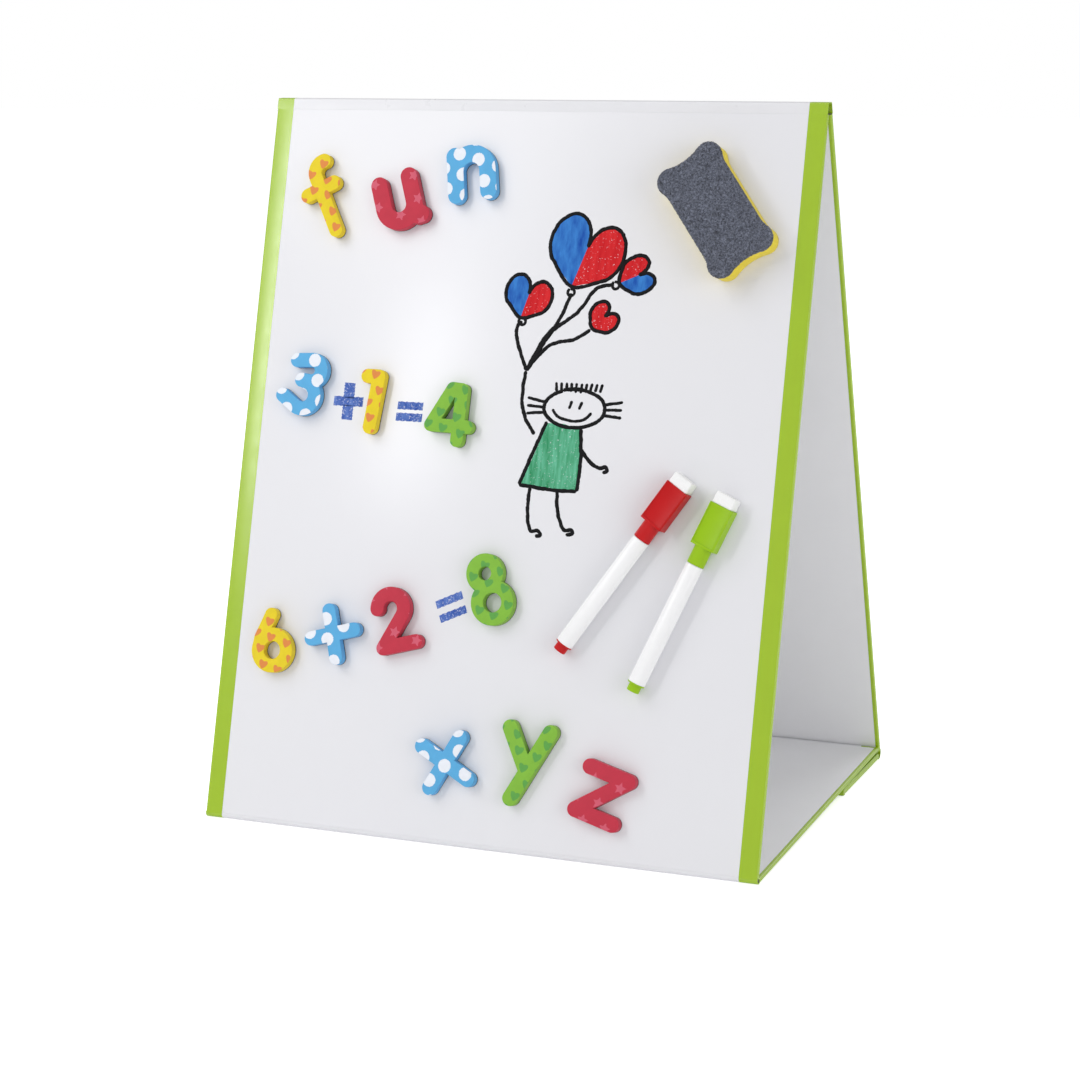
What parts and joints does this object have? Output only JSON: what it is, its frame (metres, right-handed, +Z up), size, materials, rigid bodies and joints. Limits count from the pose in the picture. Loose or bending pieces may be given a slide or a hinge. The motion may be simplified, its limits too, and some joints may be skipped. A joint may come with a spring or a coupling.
{
  "type": "tabletop easel",
  "caption": "Folding tabletop whiteboard easel with hinged base and flap, magnetic foam letters and numbers, a felt eraser and capped markers on its front.",
  "frame": {"origin": "on the floor, in the middle of the footprint across and front to back", "axes": "+X to the right seen from the front, +Y to the back, +Z up; the writing face looks to -Y"},
  "size_m": [0.317, 0.2325, 0.3834],
  "materials": {
    "dry_erase_film": "glossy white dry-erase film, slightly wavy",
    "white_wrap": "satin white printed wrap",
    "green_binding": "glossy lime green wrap at the side edges",
    "steel": "thin cold-rolled sheet",
    "greyboard": "compressed grey board",
    "liner_paper": "matte off-white lining paper",
    "ferrite": "plain dark ceramic magnet",
    "foam_yellow": "closed-cell foam printed with small orange hearts",
    "foam_red": "closed-cell foam printed with small pink stars",
    "foam_blue": "closed-cell foam printed with small pale dots",
    "foam_green": "closed-cell foam printed with small darker hearts",
    "magnet_sheet": "matte black flexible magnet sheet",
    "felt": "grey pressed felt, mottled",
    "eraser_foam": "yellow closed-cell foam",
    "barrel_white": "white injection-moulded plastic",
    "marker_red": "red injection-moulded plastic",
    "marker_green": "green injection-moulded plastic",
    "nib_felt": "porous fibre nib",
    "pad_foam": "white felt wiper pad"
  },
  "bodies": {
    "front_panel": {"front_writing_film": "dry_erase_film", "front_steel_sheet": "steel", "front_core": "greyboard", "front_liner": "liner_paper", "front_side_bindings": "green_binding", "top_spine_strip": "white_wrap", "front_foot_strip": "white_wrap"},
    "back_panel": {"back_outer_film": "dry_erase_film", "back_core": "greyboard", "back_liner": "liner_paper", "back_side_bindings": "green_binding", "rear_foot_strip": "white_wrap"},
    "base_panel": {"base_bottom_wrap": "white_wrap", "base_core": "greyboard", "base_liner": "liner_paper", "base_side_bindings": "green_binding", "base_steel_keeper": "steel"},
    "flap_panel": {"flap_core": "greyboard", "flap_wrap": "white_wrap", "flap_side_bindings": "green_binding", "flap_magnets": "ferrite"},
    "board_eraser": {"eraser_felt": "felt", "eraser_foam": "eraser_foam", "eraser_magnet": "magnet_sheet"},
    "red_marker": {"red_marker_barrel": "barrel_white", "red_marker_plug": "marker_red", "red_marker_nib": "nib_felt"},
    "red_marker_cap_body": {"red_marker_cap": "marker_red", "red_marker_pad": "pad_foam"},
    "green_marker": {"green_marker_barrel": "barrel_white", "green_marker_plug": "marker_green", "green_marker_nib": "nib_felt"},
    "green_marker_cap_body": {"green_marker_cap": "marker_green", "green_marker_pad": "pad_foam"},
    "letter_f": {"letter_f_foam": "foam_yellow", "letter_f_magnet": "magnet_sheet"},
    "letter_u": {"letter_u_foam": "foam_red", "letter_u_magnet": "magnet_sheet"},
    "letter_n": {"letter_n_foam": "foam_blue", "letter_n_magnet": "magnet_sheet"},
    "digit_3": {"digit_3_foam": "foam_blue", "digit_3_magnet": "magnet_sheet"},
    "digit_1": {"digit_1_foam": "foam_yellow", "digit_1_magnet": "magnet_sheet"},
    "digit_4": {"digit_4_foam": "foam_green", "digit_4_magnet": "magnet_sheet"},
    "digit_6": {"digit_6_foam": "foam_yellow", "digit_6_magnet": "magnet_sheet"},
    "sign_plus": {"sign_plus_foam": "foam_blue", "sign_plus_magnet": "magnet_sheet"},
    "digit_2": {"digit_2_foam": "foam_red", "digit_2_magnet": "magnet_sheet"},
    "digit_8": {"digit_8_foam": "foam_green", "digit_8_magnet": "magnet_sheet"},
    "letter_x": {"letter_x_foam": "foam_blue", "letter_x_magnet": "magnet_sheet"},
    "letter_y": {"letter_y_foam": "foam_green", "letter_y_magnet": "magnet_sheet"},
    "letter_z": {"letter_z_foam": "foam_red", "letter_z_magnet": "magnet_sheet"}
  },
  "joints": [
    {"name": "back_hinge", "type": "hinge", "parent": "front_panel", "child": "back_panel", "pos_m": [0, 0, 0.3834], "axis": [1, 0, 0], "range_deg": [0, 143], "deforming": ["top_spine_strip"]},
    {"name": "base_hinge", "type": "hinge", "parent": "front_panel", "child": "base_panel", "pos_m": [0, -0.11275, 0.00245], "axis": [1, 0, 0], "range_deg": [0, 71.5], "deforming": ["front_foot_strip"]},
    {"name": "flap_hinge", "type": "hinge", "parent": "back_panel", "child": "flap_panel", "pos_m": [0, 0.117, 0], "axis": [1, 0, 0], "range_deg": [0, 106], "deforming": ["rear_foot_strip"]},
    {"name": "letter_f_lift", "type": "slide", "parent": "front_panel", "child": "letter_f", "axis": [0, -0.9585, 0.285], "range_m": [0, 0.06]},
    {"name": "letter_u_lift", "type": "slide", "parent": "front_panel", "child": "letter_u", "axis": [0, -0.9585, 0.285], "range_m": [0, 0.06]},
    {"name": "letter_n_lift", "type": "slide", "parent": "front_panel", "child": "letter_n", "axis": [0, -0.9585, 0.285], "range_m": [0, 0.06]},
    {"name": "digit_3_lift", "type": "slide", "parent": "front_panel", "child": "digit_3", "axis": [0, -0.9585, 0.285], "range_m": [0, 0.06]},
    {"name": "digit_1_lift", "type": "slide", "parent": "front_panel", "child": "digit_1", "axis": [0, -0.9585, 0.285], "range_m": [0, 0.06]},
    {"name": "digit_4_lift", "type": "slide", "parent": "front_panel", "child": "digit_4", "axis": [0, -0.9585, 0.285], "range_m": [0, 0.06]},
    {"name": "digit_6_lift", "type": "slide", "parent": "front_panel", "child": "digit_6", "axis": [0, -0.9585, 0.285], "range_m": [0, 0.06]},
    {"name": "sign_plus_lift", "type": "slide", "parent": "front_panel", "child": "sign_plus", "axis": [0, -0.9585, 0.285], "range_m": [0, 0.06]},
    {"name": "digit_2_lift", "type": "slide", "parent": "front_panel", "child": "digit_2", "axis": [0, -0.9585, 0.285], "range_m": [0, 0.06]},
    {"name": "digit_8_lift", "type": "slide", "parent": "front_panel", "child": "digit_8", "axis": [0, -0.9585, 0.285], "range_m": [0, 0.06]},
    {"name": "letter_x_lift", "type": "slide", "parent": "front_panel", "child": "letter_x", "axis": [0, -0.9585, 0.285], "range_m": [0, 0.06]},
    {"name": "letter_y_lift", "type": "slide", "parent": "front_panel", "child": "letter_y", "axis": [0, -0.9585, 0.285], "range_m": [0, 0.06]},
    {"name": "letter_z_lift", "type": "slide", "parent": "front_panel", "child": "letter_z", "axis": [0, -0.9585, 0.285], "range_m": [0, 0.06]},
    {"name": "eraser_lift", "type": "slide", "parent": "front_panel", "child": "board_eraser", "axis": [0, -0.9585, 0.285], "range_m": [0, 0.06]},
    {"name": "red_marker_lift", "type": "slide", "parent": "front_panel", "child": "red_marker", "axis": [0, -0.9585, 0.285], "range_m": [0, 0.06]},
    {"name": "red_cap_pull", "type": "slide", "parent": "red_marker", "child": "red_marker_cap_body", "axis": [0.5446, 0.239, 0.8039], "range_m": [0, 0.035]},
    {"name": "green_marker_lift", "type": "slide", "parent": "front_panel", "child": "green_marker", "axis": [0, -0.9585, 0.285], "range_m": [0, 0.06]},
    {"name": "green_cap_pull", "type": "slide", "parent": "green_marker", "child": "green_marker_cap_body", "axis": [0.3778, 0.2639, 0.8875], "range_m": [0, 0.035]}
  ],
  "couplings": [
    {"joint": "base_hinge", "follows": "back_hinge", "ratio": 0.5}
  ]
}
